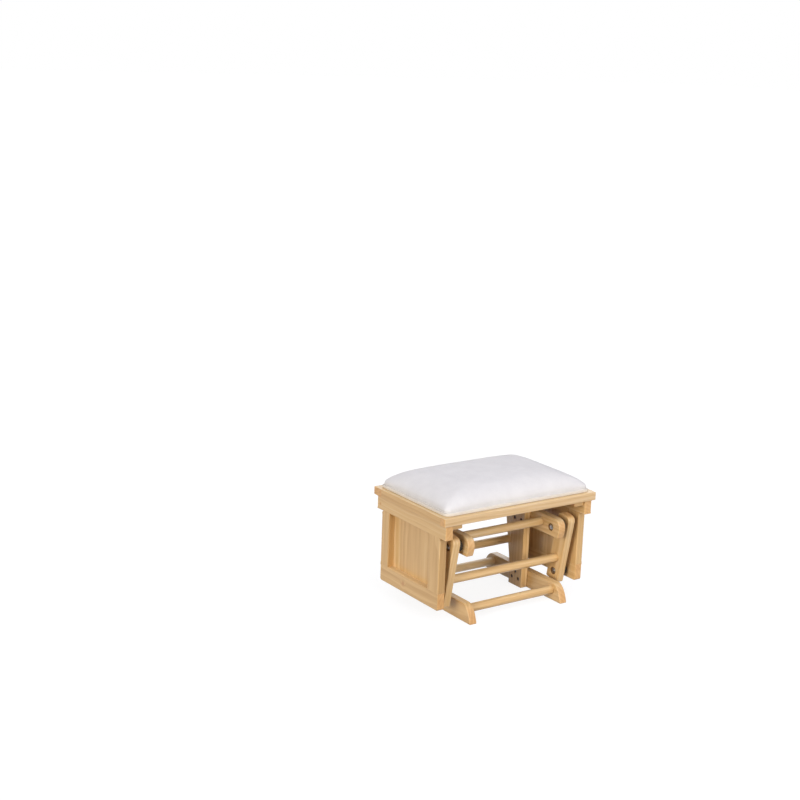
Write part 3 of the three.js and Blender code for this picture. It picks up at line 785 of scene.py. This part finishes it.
bearingSet = dict(ring=16 * mm, boss=10.5 * mm, bossLength=9 * mm, lip=2 * mm, lipRadius=12.5 * mm,
                  bore=4.3 * mm, clearance=0.3 * mm, glue=0.2 * mm, groove=0.9 * mm, grooveShift=1.5 * mm,
                  ease=1.1 * mm)
boltSet = dict(shank=4 * mm, flange=7.6 * mm, flangeHeight=1.8 * mm, flangeRim=0.6 * mm, bevel=1 * mm,
               across=13 * mm, hexHeight=5 * mm, chamfer=0.8 * mm, facets=72)
nutSet = dict(hexShare=0.72, collar=6.0 * mm, collarFrom=0.5 * mm, shoulder=1.2 * mm, rim=4.9 * mm,
              throat=4.4 * mm, recess=1 * mm, ease=0.4 * mm)


def bearing(node, startX, side, y, z, gap, play, material):
    # lip, ring with a parting groove, and boss, along the axis
    s = bearingSet
    bore, start, ring, ringEnd = s["bore"] + play, s["clearance"], s["ring"], gap - s["glue"]
    bossEnd = ringEnd + s["glue"] + s["bossLength"]
    middle = (s["lip"] + ringEnd) / 2 + s["grooveShift"]
    outer = [(bore, start), (s["lipRadius"], start), (s["lipRadius"], s["lip"]), (ring, s["lip"]),
             (ring, middle - s["groove"]), (ring - s["groove"], middle), (ring, middle + s["groove"]),
             (ring, ringEnd), (s["boss"], ringEnd), (s["boss"], bossEnd), (bore, bossEnd)]
    profile = np.concatenate([eased(outer, s["ease"]), [outer[0]]])
    standsFor(turned(node + "_block", profile, startX, side, y, z), material, node)


def hexHead(fromX, side, y, z, height):
    # A hexagon carried along its axis, with reach (across / 2) / cos(((a + 30) mod 60) - 30) at an angle a,
    # and a turned chamfer that cuts its corners in arcs: x = height - max(0, r - inner) tan 30.
    half, facets, third = boltSet["across"] / 2, boltSet["facets"], math.pi / 3
    angle = np.arange(facets) * 2 * math.pi / facets
    reach = half / np.cos((angle + third / 2) % third - third / 2)
    inner = half - boltSet["chamfer"]
    rows = [(reach, 0 * angle), (reach, height - (reach - inner) * math.tan(math.pi / 6)),
            (0 * angle + inner, 0 * angle + height)]
    rings = [np.column_stack([fromX + side * along, y + r * np.cos(angle), z + r * np.sin(angle)])
             for r, along in rows]
    return np.concatenate(rings), cappedFaces(len(rows), facets, side < 0)


def bolt(node, seatX, side, length, y, z, material):
    # shank and flange as one turned shell, with the hexagon head standing on the flange
    shank, flange, rise, bevel = (boltSet[key] for key in ("shank", "flange", "flangeHeight", "bevel"))
    profile = [(0, -rise), (flange - bevel, -rise), (flange, -boltSet["flangeRim"]), (flange, 0), (shank, 0),
               (shank, length - bevel), (shank - bevel, length), (0, length)]
    shells = [turnedShell(profile, seatX, side, y, z),
              hexHead(seatX - side * rise / 2, -side, y, z, boltSet["hexHeight"] + rise / 2)]
    standsFor(softened(joined(node + "_made", shells)), material, node)


def nut(node, side, y, z, material):
    # a lock nut: a hexagon with a turned collar round its nylon ring
    s = nutSet
    start, end = innerOuter(node, side)
    height = abs(end - start)
    deep = height - s["recess"]
    collar = [(0, s["collarFrom"]), (s["collar"], s["collarFrom"]), (s["collar"], height - s["shoulder"]),
              (s["rim"], height), (s["throat"], height), (s["throat"], deep), (0, deep)]
    shells = [hexHead(start, side, y, z, height * s["hexShare"]),
              turnedShell(eased(collar, s["ease"]), start, side, y, z)]
    standsFor(softened(joined(node + "_made", shells)), material, node)


def buildPivots(metal, black, yellow):
    for sideName, side in sides:
        barInner, barOuter = innerOuter(f"{sideName}_top_bar", side)
        armInner, armOuter = innerOuter(f"front_{sideName}_arm", side)
        panelInner, _ = innerOuter(f"{sideName}_bottom_rail", side)
        for end, sign in ends:
            name = f"{end}_{sideName}"
            upper, lower = pivotAt(upperPivot, sign), pivotAt(lowerPivot, sign)
            bearing(name + "_upper_bearing", barOuter, side, *upper, abs(armInner - barOuter), 0, black)
            bearing(name + "_lower_bearing", panelInner, -side, *lower, abs(panelInner - armOuter),
                    boreSet["play"] if sign > 0 else 0.0, black)
            for kind, inner, spot in (("upper", barInner, upper), ("lower", armInner, lower)):
                node = f"{name}_{kind}_bolt"
                seat = inner + side * (boreSet["depth"] - bearingSet["glue"])
                bolt(node, seat, side, abs(innerOuter(node, side)[1] - seat), *spot, metal)
            nut(name + "_lock_nut", side, *upper, metal)
            dress(name + "_insert", yellow)
    print("pivots made")


# The seat: side panels, side rails, top frame, deck and corner blocks.

panelSet = dict(
    edge=2.6 * mm, glued=0.35 * mm, gluedCorner=0.3 * mm, lowCorner=6 * mm, topCorner=8 * mm,
    underEdge=0.9 * mm, fieldEdge=0.2 * mm, gap=0.3 * mm, stileLead=9 * mm,
    stileTone=dict(front=0.0, rear=0.03), stileStaves=dict(front=21 * mm, rear=0.0),
    fieldTone=0.0, fieldStaves=34 * mm, sideRailTone=0.05,
    # ledgeTone is painted light: the bottom rail's top ledge is made paler, as if lit from above
    railTone=0.02, railKnot=(24 * mm, 64 * mm), ledgeTone=(1.20, 1.32, 1.55),
    # edgeTone is painted shade here: the stiles' faces turned to the front or rear are darkened
    edgeTone=dict(left=(0.70, 0.63, 0.53), right=(0.92, 0.90, 0.87), rear=(0.86, 0.80, 0.70)),
)
plugSet = dict(radius=4.2 * mm, proud=0.15 * mm, depth=3 * mm, ease=0.25 * mm, facets=40,
               fromRear=14 * mm, fromTop=22 * mm, tone=-0.05)
topSet = dict(edge=3.4 * mm, corner=2.0 * mm, glued=0.35 * mm, sideEdge=2.0 * mm, boards=dict(
    # the front board's edgeTone is painted light: its front face is made paler and bluer
    front=dict(grain="x", tone=0.16, edgeTone=(0.97, 1.02, 1.20)), rear=dict(grain="x", tone=0.08),
    # the left board's upTone is painted light: its top ledge is made paler, a painted highlight along its
    # rounded edge
    left=dict(grain="y", tone=-0.16, upTone=(1.13, 1.26, 1.46)), right=dict(grain="y", tone=0.10)))
blockSet = dict(edge=1.5 * mm, corner=1.5 * mm, tone=-0.12)


def besideStiles(sideName, level, edge):
    # outline points along a rail, from front to rear: glued where a stile meets it, rounded between
    glued, lead = panelSet["glued"], meshSteps["lead"]
    front, rear = sideOn(f"{sideName}_front_stile")[1], sideOn(f"{sideName}_rear_stile")[0]
    return [(front, level, 0.0, glued), (front + lead, level, 0.0, edge),
            (rear - lead, level, 0.0, edge), (rear, level, 0.0, glued)]


def buildPanel(sideName, side):
    s = panelSet
    glued, edge, tight, gap = s["glued"], s["edge"], s["gluedCorner"], s["gap"]
    lead = meshSteps["lead"]
    railUnder = sideOn(f"{sideName}_side_rail")[2]    # the panel is glued up to the side rail
    low, high = corners(f"{sideName}_field_board")
    low, high = low - gap, high + gap
    (high if side < 0 else low)[0] -= side * overrun    # the field's rebate is open inwards and at its top
    high[2] += overrun
    rebate = boxShell(low, high)
    for end, sign in ends:
        node = f"{sideName}_{end}_stile"
        front, rear, bottom, _ = sideOn(node)
        radii = [tight] * 4
        radii[3 if end == "front" else 2] = s["topCorner"]
        outline = joinedRectangle(front, rear, bottom, railUnder, radii, (glued, edge) * 2, s["stileLead"])
        board(node, outline, "z", [rebate], tone=s["stileTone"][end], staves=s["stileStaves"][end],
              edgeTone=s["edgeTone"][sideName if end == "front" else "rear"])

    node = f"{sideName}_bottom_rail"
    front, rear, bottom, top = sideOn(node)
    outline = [(front, bottom, s["lowCorner"], edge), (rear, bottom, s["lowCorner"], edge),
               (rear, top - lead, 0.0, edge), (rear, top, tight, glued),
               *besideStiles(sideName, top, edge)[::-1],
               (front, top, tight, glued), (front, top - lead, 0.0, edge)]
    insertLow, insertHigh = corners(f"front_{sideName}_insert")
    deep, _, across = insertHigh - insertLow
    reach, deep = across / 2 + gap, deep + gap
    inner, outer = innerOuter(node, side)
    profile = [(0, -overrun), (reach, -overrun), (reach, deep), (0, deep)]
    holes = [turnedShell(profile, inner, side, *pivotAt(lowerPivot, sign)) for end, sign in ends]
    board(node, outline, "y", [rebate] + holes, tone=s["railTone"], knots=((outer, *s["railKnot"]),),
          upTone=s["ledgeTone"])

    node = f"{sideName}_field_board"
    front, rear, bottom, _ = sideOn(node)
    outline = rectangle(front, rear, bottom, railUnder, tight, s["fieldEdge"])
    board(node, outline, "z", tone=s["fieldTone"], staves=s["fieldStaves"])

    node = f"{sideName}_side_rail"
    front, rear, bottom, top = sideOn(node)
    outline = [(front, bottom, tight, glued), *besideStiles(sideName, bottom, s["underEdge"]),
               (rear, bottom, tight, glued), (rear, bottom + lead, 0.0, edge), (rear, top - lead, 0.0, edge),
               (rear, top, tight, glued), (front, top, tight, glued), (front, top - lead, 0.0, edge),
               (front, bottom + lead, 0.0, edge)]
    board(node, outline, "y", tone=s["sideRailTone"])

    s, plug = plugSet, f"{sideName}_rail_plug"
    r, proud, deep = s["radius"], s["proud"], s["depth"]
    profile = eased([(0, -proud), (r, -proud), (r, deep), (0, deep)], s["ease"])
    inner, outer = innerOuter(node, side)
    piece = turned(plug, profile, outer, -side, rear - s["fromRear"], top - s["fromTop"], s["facets"])
    finished(piece, wood(plug, "x", tone=s["tone"]), "seat", "maple")


def buildTop():
    gap = panelSet["gap"]
    low, high = corners("seat_deck")
    deckRoom = boxShell(low - gap, high + gap + (0, 0, overrun))
    edge, corner, glued, rim = (topSet[key] for key in ("edge", "corner", "glued", "sideEdge"))
    for name, look in topSet["boards"].items():
        node = name + "_top_board"
        turn = 2 if name == "rear" else 0    # the rear board is the front one turned half round
        outline = rectangle(*sideOn(node), np.roll((corner, glued, glued, corner), turn),
                            np.roll((edge, glued, glued, edge), turn))
        if look["grain"] == "y":
            outline = joinedRectangle(*sideOn(node), glued, (rim, glued) * 2)
        board(node, outline, cuts=[deckRoom], **look)
    dress("seat_deck", plywood("seat_deck_plywood"))
    for sideName, side in sides:
        for end, sign in ends:
            node = f"{end}_{sideName}_corner_block"
            outline = rectangle(*sideOn(node), blockSet["corner"], blockSet["edge"])
            board(node, outline, "x", tone=blockSet["tone"])


def buildSeat():
    for sideName, side in sides:
        buildPanel(sideName, side)
    buildTop()
    print("seat made")


# The pad: foam over a thin board, wrapped in fabric.

padSet = dict(
    bandHeight=7.0 * mm, bandRound=1.5 * mm, bandSteps=6, shrink=1.2 * mm, proud=1.0 * mm, sunk=4 * mm,
    cornerFall=18 * mm, edgeFall=13 * mm, cornerPower=5, pull=4.5 * mm, squareness=28, plateau=0.55,
    sidePower=2.9, topPower=2.7, tuck=0.009, tuckReach=0.17, foot=0.97, poles=(0.1, 0.03),
    planPoints=280, underRows=14, wallRows=26, wallCrowding=1.6, topRows=16,
    voxel=4.5 * mm, frames=20, cap=2.4 * mm, pinned=6 * mm, calming=60,
    seamDepth=0.9 * mm, seamWidth=2.2 * mm, seamFade=1.25, seamFadePower=1.2, cornerRadius=20 * mm,
    pucker=0.45 * mm, puckerWave=13 * mm, puckerReach=16 * mm,
)
clothSet = dict(quality=6, mass=0.25, tension_stiffness=18, compression_stiffness=18, shear_stiffness=8,
                bending_stiffness=0.4, use_pressure=True, uniform_pressure_force=4.0,
                vertex_group_mass="pins")


def padPlan():
    # the rim of a square rounded by the power n: (1, t) / (1 + |t|^n)^(1/n), turned to each side
    each, power = padSet["planPoints"] // 4, padSet["squareness"]
    along = np.sin((np.arange(each) / each - 0.5) * math.pi)
    size = (1 + np.abs(along) ** power) ** (1 / power)
    u, v = 1 / size, along / size
    return np.concatenate([np.stack(pair, -1) for pair in ((u, v), (-v, u), (-u, -v), (v, -u))])


def padShell(halfWidth, halfDepth, bottom, crown):
    # Rows of the pad from the middle of its underside, up its wall and over to its crown. On the wall
    # spread = p + (1 - p) cos(a)^(2/m) and rise = sin(a)^(2/n), with p the plateau's share; near its foot
    # the wall tucks in by tuck exp(-(rise / reach)^2), and the top falls with the spread squared.
    s, plateau, crowding = padSet, padSet["plateau"], padSet["wallCrowding"]
    plan = padPlan()
    a = np.linspace(0.0, math.pi / 2, s["wallRows"]) ** crowding / (math.pi / 2) ** (crowding - 1)
    rise = np.sin(a) ** (2 / s["topPower"])
    spread = plateau + (1 - plateau) * np.clip(np.cos(a), 0, 1) ** (2 / s["sidePower"])
    spread = spread * (1 - s["tuck"] * np.exp(-(rise / s["tuckReach"]) ** 2))
    under = np.linspace(s["poles"][0], s["foot"], s["underRows"])
    top = np.linspace(plateau, s["poles"][1], s["topRows"])[1:]
    spread = np.concatenate([under, spread, top])[:, None]
    sink = np.concatenate([under * 0 + s["sunk"], rise * 0, top * 0])[:, None]
    rise = np.concatenate([under * 0, rise, top * 0 + 1])[:, None]
    u, v = plan.T
    x = spread * u * (halfWidth - s["pull"] * (1 - v ** 2))
    y = spread * v * (halfDepth - s["pull"] * (1 - u ** 2))
    fall = s["edgeFall"] + s["cornerFall"] * (np.abs(u * v) * spread) ** s["cornerPower"]
    z = bottom - sink + rise * (crown - fall * spread ** 2)
    points = np.stack([x, y, z], -1).reshape(-1, 3)
    poles = [[0, 0, bottom - s["sunk"]], [0, 0, bottom + crown]]
    return np.concatenate([points, poles]), poledFaces(len(spread), len(plan))


def calmed(piece, moved, rounds):
    # each point's movement is drawn half way to the mean of its neighbours' movements, again and again
    pairs = np.empty(len(piece.data.edges) * 2, int)
    piece.data.edges.foreach_get("vertices", pairs)
    first, second = pairs.reshape(-1, 2).T
    count = np.bincount(pairs, minlength=len(moved))[:, None]
    for step in range(rounds):
        total = [np.bincount(first, moved[second, axis], len(moved)) +
                 np.bincount(second, moved[first, axis], len(moved)) for axis in range(3)]
        moved = (moved + np.stack(total, -1) / count) / 2
    return moved


def plump(piece, bottom):
    # blows the pad up as cloth with its underside pinned, and caps how far any point moves
    start = coordinates(piece.data)
    pins = piece.vertex_groups.new(name=clothSet["vertex_group_mass"])
    pins.add(np.flatnonzero(start[:, 2] < bottom + padSet["pinned"]).tolist(), 1.0, "REPLACE")
    cloth = piece.modifiers.new("puff", "CLOTH")
    for key, value in clothSet.items():
        setattr(cloth.settings, key, value)
    cloth.settings.effector_weights.gravity = 0.0
    cloth.point_cache.frame_start = 1
    cloth.point_cache.frame_end = padSet["frames"]
    scene = bpy.context.scene
    for step in range(1, padSet["frames"] + 1):
        scene.frame_set(step)
    graph = bpy.context.evaluated_depsgraph_get()
    moved = coordinates(piece.evaluated_get(graph).to_mesh()) - start
    piece.evaluated_get(graph).to_mesh_clear()
    piece.modifiers.clear()
    scene.frame_set(1)
    reach = np.linalg.norm(moved, axis=1, keepdims=True)
    capped = moved * np.minimum(1, padSet["cap"] / np.maximum(reach, 1e-9))
    calm = calmed(piece, capped, padSet["calming"])
    kept = np.linalg.norm(calm, axis=1).max()
    print(f"pad swelled by up to {reach.max() / mm:.1f} mm, kept {kept / mm:.1f} mm")
    moveTo(piece, start + calm)


def cornerSeams(piece, halfWidth, halfDepth, bottom, height):
    # A seam runs up each corner, with puckers beside it that die out upwards and sideways:
    # inwards by depth exp(-(s/w)^2) + pucker exp(-(s/reach)^2) cos(2 pi s / wave).
    p, corner = coordinates(piece.data), padSet["cornerRadius"]
    dx, dy = np.abs(p[:, 0]) - (halfWidth - corner), np.abs(p[:, 1]) - (halfDepth - corner)
    near = (dx > 0) & (dy > 0)
    r = np.hypot(dx, dy)
    s = (np.arctan2(dy, dx) - math.radians(45)) * r
    up = np.clip((p[:, 2] - bottom) / height, 0, 1)
    fade = np.clip(1.0 - padSet["seamFade"] * up, 0, 1) ** padSet["seamFadePower"] * near
    seam = np.exp(-(s / padSet["seamWidth"]) ** 2)
    puckers = np.exp(-(s / padSet["puckerReach"]) ** 2) * np.cos(2 * math.pi * s / padSet["puckerWave"])
    push = (padSet["seamDepth"] * seam + padSet["pucker"] * puckers) * fade
    out = np.stack([np.sign(p[:, 0]) * dx, np.sign(p[:, 1]) * dy], -1) / np.maximum(r, 1e-9)[:, None]
    p[:, :2] -= out * push[:, None]
    moveTo(piece, p)


def buildPad(cloth, wrap):
    low, high = corners("cushion")
    halfWidth, halfDepth = (high[0] - low[0]) / 2, (high[1] - low[1]) / 2
    bottom, shrink = low[2] + padSet["bandHeight"], padSet["shrink"]
    crown = high[2] - bottom + padSet["proud"]
    pad = newPiece("cushion_pad", *padShell(halfWidth - shrink, halfDepth - shrink, bottom, crown))
    remesh = pad.modifiers.new("even", "REMESH")
    remesh.mode = "VOXEL"
    remesh.voxel_size = padSet["voxel"]
    settle(pad)
    plump(pad, bottom)
    smooth = pad.modifiers.new("finer", "SUBSURF")
    smooth.levels = smooth.render_levels = 1
    settle(pad)
    cornerSeams(pad, halfWidth, halfDepth, bottom, high[2] - bottom)
    pad.data.shade_smooth()
    finished(pad, cloth, "seat", "cushion_fabric", "cushion")

    # the band round the board, with a quarter round below and above: inset r (1 - sin a), rise r (1 - cos a);
    # its beige cloth is partly painted shade at the pad's foot
    plan = padPlan() * (halfWidth, halfDepth)
    a = np.linspace(0, math.pi / 2, padSet["bandSteps"])
    inset, rise = padSet["bandRound"] * (1 - np.sin(a)), padSet["bandRound"] * (1 - np.cos(a))
    inset = np.concatenate([inset, inset[::-1]])
    level = low[2] + np.concatenate([rise, padSet["bandHeight"] - rise[::-1]])
    rings = [np.column_stack([plan * share, np.full(len(plan), up)])
             for share, up in zip(1 - inset[:, None] / (halfWidth, halfDepth), level)]
    band = newPiece("cushion_board_wrap", np.concatenate(rings), cappedFaces(len(rings), len(plan)))
    finished(softened(band), wrap, "seat", "cushion_fabric")
    print("pad made")


# Floor, light and camera.

lightSet = dict(horizon=(0.43, 0.40, 0.36), horizonAt=0.05, zenith=(1.10, 1.11, 1.27), zenithAt=0.80,
                front=1.0, behind=0.28, turnsAt=(-0.6, 0.6))
lampSet = (
    dict(name="key", colour=(1.0, 0.96, 0.91), strength=1.35, size=36, way=(0.03, -0.93, 0.27)),
    dict(name="fill", colour=(1.0, 0.94, 0.85), strength=1.70, size=24, way=(-0.93, -0.31, 0.26)),
    dict(name="back", colour=(1.0, 0.96, 0.91), strength=0.38, size=50, way=(0.60, 0.70, 0.42)),
)
floorSet = dict(seen=(0.20, 0.20, 0.20), lit=(0.20, 0.165, 0.12), glow=0.87, roughness=0.9, reach=60.0,
                drop=0.3 * mm)
cameraSet = dict(place=(-2.311874, -2.940321, 1.429896), yaw=34.549, pitch=13.518, roll=2.011,
                 focalPixels=1456.33, imageWidth=800, sensor=36.0, farthest=100)


def seenBy(tree):
    # 1 for rays that show the surroundings, straight on or in gloss or glass, and 0 for those that give light
    path = put("LightPath", tree=tree).outputs
    shown = calc("MAXIMUM", path["Is Camera Ray"], path["Is Glossy Ray"])
    return calc("MAXIMUM", shown, path["Is Transmission Ray"])


def buildStage():
    reach, level = floorSet["reach"], -floorSet["drop"]
    spots = [(x, y, level) for x, y in ((-reach, -reach), (reach, -reach), (reach, reach), (-reach, reach))]
    floor = newPiece("floor", spots, [[0, 1, 2, 3]])
    material, shader = newMaterial("floor_paper")
    seen = seenBy(material.node_tree)
    feed(shader, Base_Color=blendColour("MIX", seen, floorSet["lit"], floorSet["seen"]),
         Roughness=floorSet["roughness"], Specular_IOR_Level=0.0, Emission_Color=(1, 1, 1, 1),
         Emission_Strength=calc("MULTIPLY", seen, floorSet["glow"]))
    floor.data.materials.append(material)

    world = bpy.data.worlds.new("studio")
    bpy.context.scene.world = world
    world.use_nodes = True
    world.node_tree.nodes.clear()
    seen = seenBy(world.node_tree)
    way = split(put("TexCoord", tree=world.node_tree).outputs["Generated"])
    s = lightSet
    sky = ramp(way["Z"], (s["horizonAt"], s["horizon"]), (s["zenithAt"], s["zenith"]))
    strength = ranged(way["Y"], *s["turnsAt"], s["front"], s["behind"])
    soft = put("Background", Color=sky, Strength=strength).outputs[0]
    white = put("Background", tree=world.node_tree, Color=(1, 1, 1, 1), Strength=1.0).outputs[0]
    put("OutputWorld", Surface=put("MixShader", i0=seen, i1=soft, i2=white).outputs[0])

    for lamp in lampSet:
        light = bpy.data.lights.new(lamp["name"], "SUN")
        light.color = lamp["colour"]
        light.energy = lamp["strength"]
        light.angle = math.radians(lamp["size"])
        holder = bpy.data.objects.new(lamp["name"], light)
        x, y, z = np.array(lamp["way"]) / np.linalg.norm(lamp["way"])
        holder.rotation_euler = (math.acos(z), 0, math.atan2(x, -y))
        bpy.context.scene.collection.objects.link(holder)
    bpy.context.scene.view_settings.view_transform = "Standard"
    print("floor and light made")


def buildCamera():
    # looks along yaw from +y towards +x and pitch below the level, rolled about its own axis
    yaw, pitch, roll = (math.radians(cameraSet[key]) for key in ("yaw", "pitch", "roll"))
    ahead = np.array([math.sin(yaw) * math.cos(pitch), math.cos(yaw) * math.cos(pitch), -math.sin(pitch)])
    right = np.array([math.cos(yaw), -math.sin(yaw), 0])
    up = np.cross(right, ahead)
    rolledRight = math.cos(roll) * right + math.sin(roll) * up
    rolledUp = -math.sin(roll) * right + math.cos(roll) * up
    camera = bpy.data.cameras.new("camera")
    camera.sensor_width = cameraSet["sensor"]
    camera.lens = cameraSet["focalPixels"] * cameraSet["sensor"] / cameraSet["imageWidth"]
    camera.clip_end = cameraSet["farthest"]
    holder = bpy.data.objects.new("camera", camera)
    rows = np.column_stack([rolledRight, rolledUp, -ahead, cameraSet["place"]]).tolist()
    holder.matrix_world = Matrix(rows + [[0, 0, 0, 1]])
    bpy.context.scene.collection.objects.link(holder)
    bpy.context.scene.camera = holder


buildCamera()
buildBase(steel("dark_screw_steel", shadeDarkScrewSteelSet))
buildArms()
buildPivots(steel("zinc_steel", steelSet), nylon("black_nylon"), brass("insert_brass"))
buildSeat()
buildPad(fabric("pale_weave", padFabric), fabric("cream_weave", bandFabricAndShade))
buildStage()
